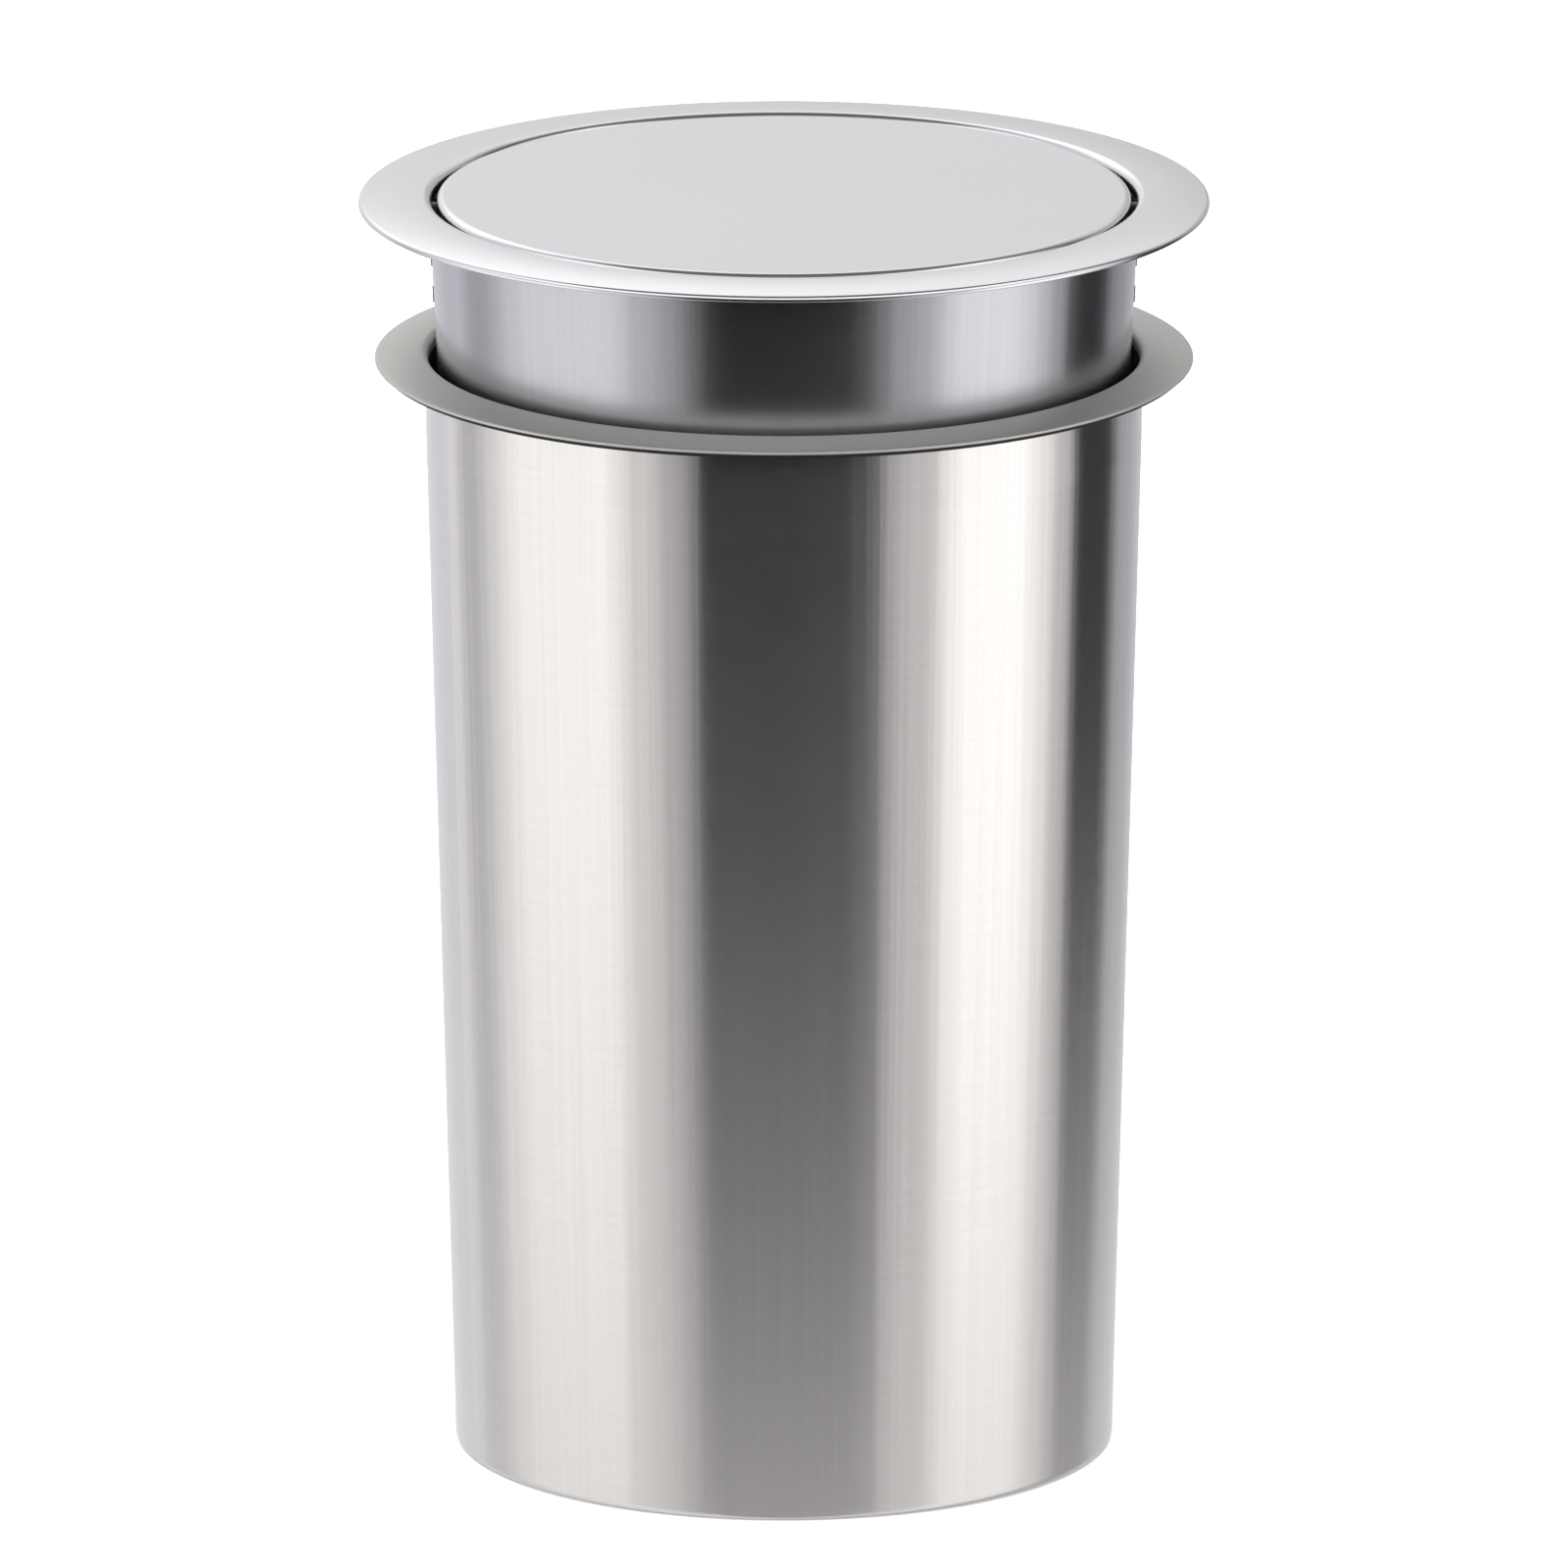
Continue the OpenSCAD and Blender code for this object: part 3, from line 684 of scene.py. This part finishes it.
def levelRamp(tree, place, s, levels, low, high):
    ramp = addNode(tree, "ShaderNodeValToRGB", {"Fac": place})
    stops = ramp.color_ramp.elements
    for at, level in s[levels]:
        spot = (at - low) / (high - low)
        stop = stops[-round(spot)] if spot in (0, 1) else stops.new(spot)
        tint = s["cool"] if abs(at) > s["coolFrom"] else (1.0, 1.0, 1.0)
        stop.color = [level * t for t in tint] + [1.0]
    return ramp.outputs[0]


def wallShare(tree, way, limits):
    # how far a direction lies in one wall's part of the room
    level = fade(tree, way.outputs[1], *limits[0])
    return calc(tree, "MULTIPLY", level, fade(tree, way.outputs[2], *limits[1]))


def makeWorld(s):
    world = bpy.data.worlds.new("studio")
    bpy.context.scene.world = world
    world.use_nodes = True
    tree = world.node_tree
    tree.nodes.clear()
    seenFrom = addNode(tree, "ShaderNodeTexCoord").outputs["Generated"]
    way = addNode(tree, "ShaderNodeSeparateXYZ", {0: seenFrom})
    turn = calc(tree, "ARCTAN2", way.outputs[0], calc(tree, "MULTIPLY", way.outputs[1], -1.0))
    turnPart = calc(tree, "MULTIPLY_ADD", turn, 1 / (2 * math.pi), 0.5)
    around = levelRamp(tree, turnPart, s, "around", -180, 180)
    behind = levelRamp(tree, way.outputs[2], s, "behind", 0, 1)
    slope = addNode(tree, "ShaderNodeMapRange", {
        "Value": way.outputs[0], "From Min": -s["slopeOver"], "From Max": s["slopeOver"],
        "To Min": s["slope"][0], "To Max": s["slope"][1]})
    sloped = addNode(tree, "ShaderNodeVectorMath", {0: behind, "Scale": slope.outputs[0]}, operation="SCALE")
    front = levelRamp(tree, way.outputs[2], s, "front", 0, 1)
    sides = addNode(tree, "ShaderNodeMix", {
        "Factor": wallShare(tree, way, s["behindFrom"]), "A": around, "B": sloped.outputs[0]},
        data_type="RGBA")
    most = addNode(tree, "ShaderNodeMix", {
        "Factor": wallShare(tree, way, s["frontFrom"]), "A": sides.outputs["Result"], "B": front},
        data_type="RGBA")
    dim = addNode(tree, "ShaderNodeMix", {
        "Factor": fade(tree, way.outputs[2], *s["overheadFrom"]), "A": most.outputs["Result"],
        "B": s["overhead"]}, data_type="RGBA")
    seen = addNode(tree, "ShaderNodeBackground", {"Color": dim.outputs["Result"], "Strength": s["gain"]})
    white = addNode(tree, "ShaderNodeBackground", {"Color": (1, 1, 1, 1), "Strength": 1.0})
    path = addNode(tree, "ShaderNodeLightPath")
    final = addNode(tree, "ShaderNodeMixShader", {
        0: path.outputs["Is Camera Ray"], 1: seen.outputs[0], 2: white.outputs[0]})
    addNode(tree, "ShaderNodeOutputWorld", {"Surface": final.outputs[0]})


# the floor itself is left out of reflections; a half-clear disc over it stands in for it there
floorSet = {"floor": "#F4F4F3", "size": 40.0, "roughness": 0.9, "glowRadius": 0.85, "glowCore": 0.05,
            "glow": 0.58, "fill": 0.28}


def makeFloor(s):
    paint = newMaterial("paleFloor", {"Base Color": linear(s["floor"]), "Roughness": s["roughness"]})[0]
    glow, tree, shader = newMaterial("floorInSteel", {"Base Color": linear(s["floor"]), "Roughness": 1.0})
    where = addNode(tree, "ShaderNodeTexCoord").outputs["Object"]
    away = addNode(tree, "ShaderNodeVectorMath", {0: where}, operation="LENGTH").outputs["Value"]
    part = addNode(tree, "ShaderNodeMapRange", {
        "Value": away, "From Min": s["glowCore"], "From Max": s["glowRadius"], "To Min": s["glow"],
        "To Max": 0.0})
    tree.links.new(part.outputs[0], shader.inputs["Alpha"])
    shader.inputs["Emission Color"].default_value = linear(s["floor"])
    shader.inputs["Emission Strength"].default_value = s["fill"]
    wide = bmesh.new()
    bmesh.ops.create_grid(wide, x_segments=1, y_segments=1, size=s["size"] / 2)
    near = bmesh.new()
    bmesh.ops.create_circle(near, cap_ends=True, segments=96, radius=s["glowRadius"])
    for name, shape, mat, onlyGlossy in (("floor", wide, paint, False), ("floorGlow", near, glow, True)):
        mesh = bpy.data.meshes.new(name)
        shape.to_mesh(mesh)
        shape.free()
        mesh.materials.append(mat)
        floor = bpy.data.objects.new(name, mesh)
        bpy.context.collection.objects.link(floor)
        floor.visible_glossy = onlyGlossy
        floor.visible_camera = not onlyGlossy
        floor.visible_diffuse = not onlyGlossy
        floor.visible_shadow = not onlyGlossy


# one broad soft light overhead keeps the floor pale
lampSet = {"energy": 105, "size": 2.4, "place": (0, 0.4, 2.6)}


def makeLight(s):
    data = bpy.data.lights.new("overhead", "AREA")
    data.energy = s["energy"]
    data.size = s["size"]
    lamp = bpy.data.objects.new("overhead", data)
    lamp.location = s["place"]
    lamp.visible_glossy = False
    bpy.context.collection.objects.link(lamp)


makeWorld(studioSet)
makeFloor(floorSet)
makeLight(lampSet)
bpy.context.scene.view_settings.view_transform = "Standard"
print("studio made")
